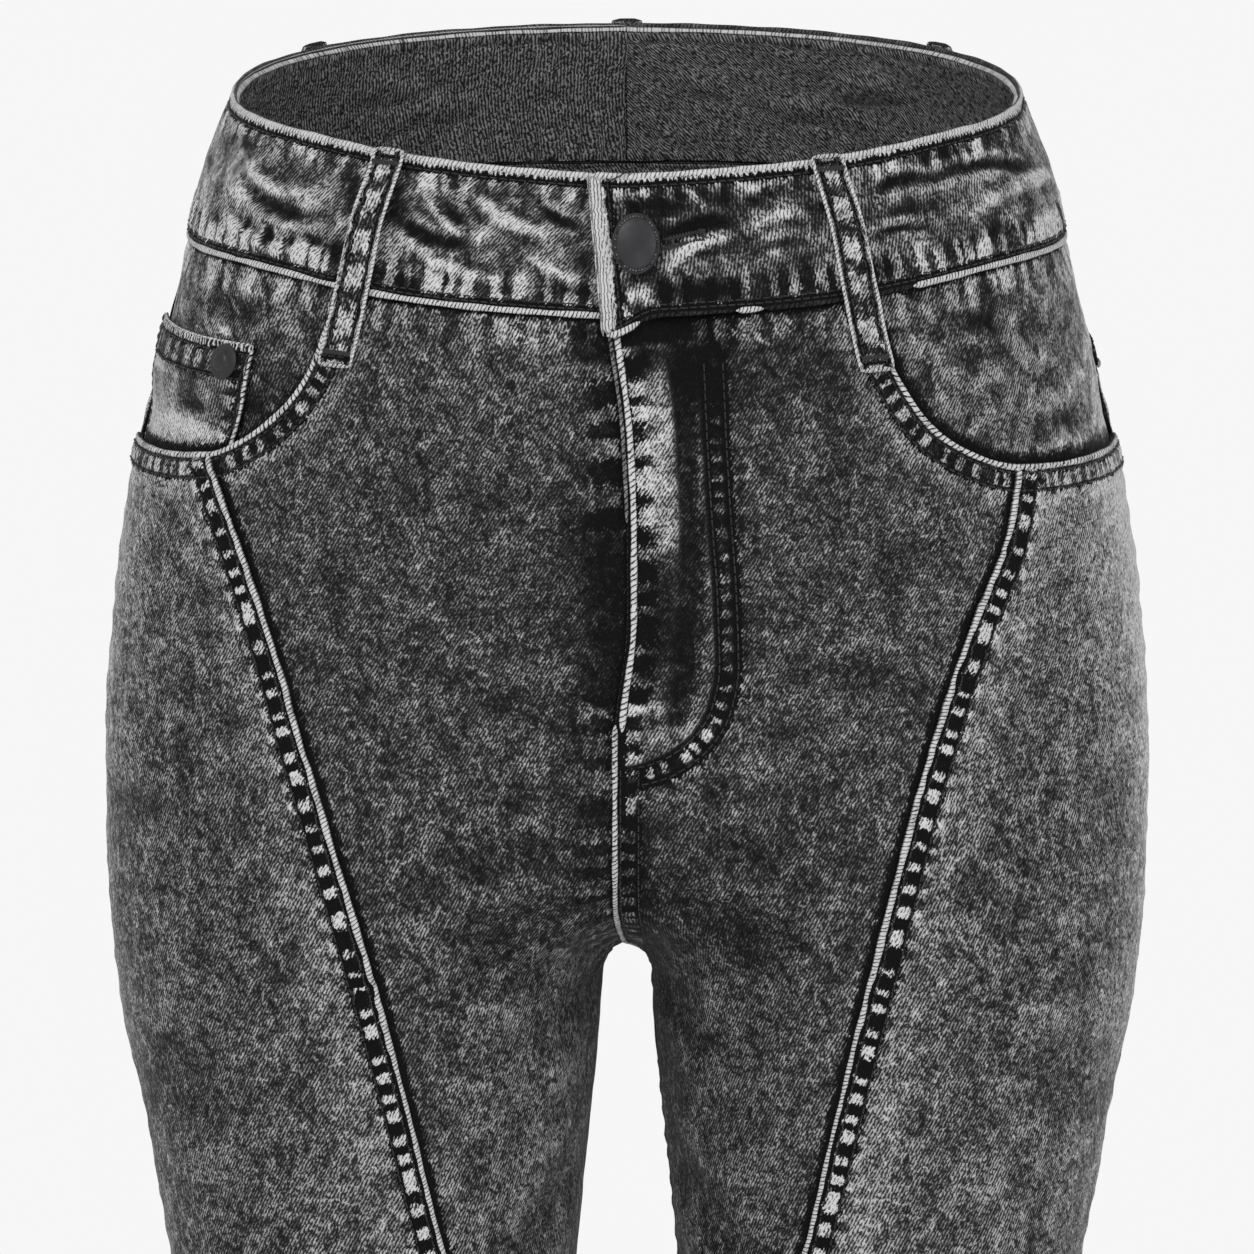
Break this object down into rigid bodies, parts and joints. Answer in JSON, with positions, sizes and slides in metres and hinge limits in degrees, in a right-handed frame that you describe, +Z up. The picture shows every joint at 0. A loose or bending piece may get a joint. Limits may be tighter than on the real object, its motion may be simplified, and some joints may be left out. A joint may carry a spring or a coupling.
{
  "type": "flared jeans",
  "caption": "High-waisted flared jeans in snow-washed grey denim, worn and hollow, with slanting front seams, curved pockets, a coin pocket and belt loops.",
  "frame": {"origin": "middle of the waist opening, level with the waistband's upper edge at the side seams", "axes": "+Z up, the front faces -Y, and the wearer's left is at +X"},
  "size_m": [0.3858, 0.2356, 1.0665],
  "materials": {
    "denim": "snow-washed twill",
    "denim_light": "snow-washed twill",
    "denim_dark": "snow-washed twill",
    "trim": "matt dark grey"
  },
  "bodies": {
    "root": {"waistband_left": "denim_light", "waistband_right": "denim_light", "front_centre_left": "denim", "front_centre_right": "denim", "front_side_left": "denim_light", "front_side_right": "denim_light", "back_leg_left": "denim", "back_leg_right": "denim", "back_yoke_left": "denim_light", "back_yoke_right": "denim_light", "pocket_facing_left": "denim_light", "pocket_facing_right": "denim_light", "coin_pocket": "denim", "back_pocket_left": "denim_light", "back_pocket_right": "denim_light", "belt_loop_front_left": "denim_dark", "belt_loop_front_right": "denim_dark", "belt_loop_back_left": "denim_dark", "belt_loop_back_right": "denim_dark", "belt_loop_centre_back": "denim_dark", "zip": "trim", "button": "trim", "coin_rivet": "trim"}
  },
  "joints": []
}
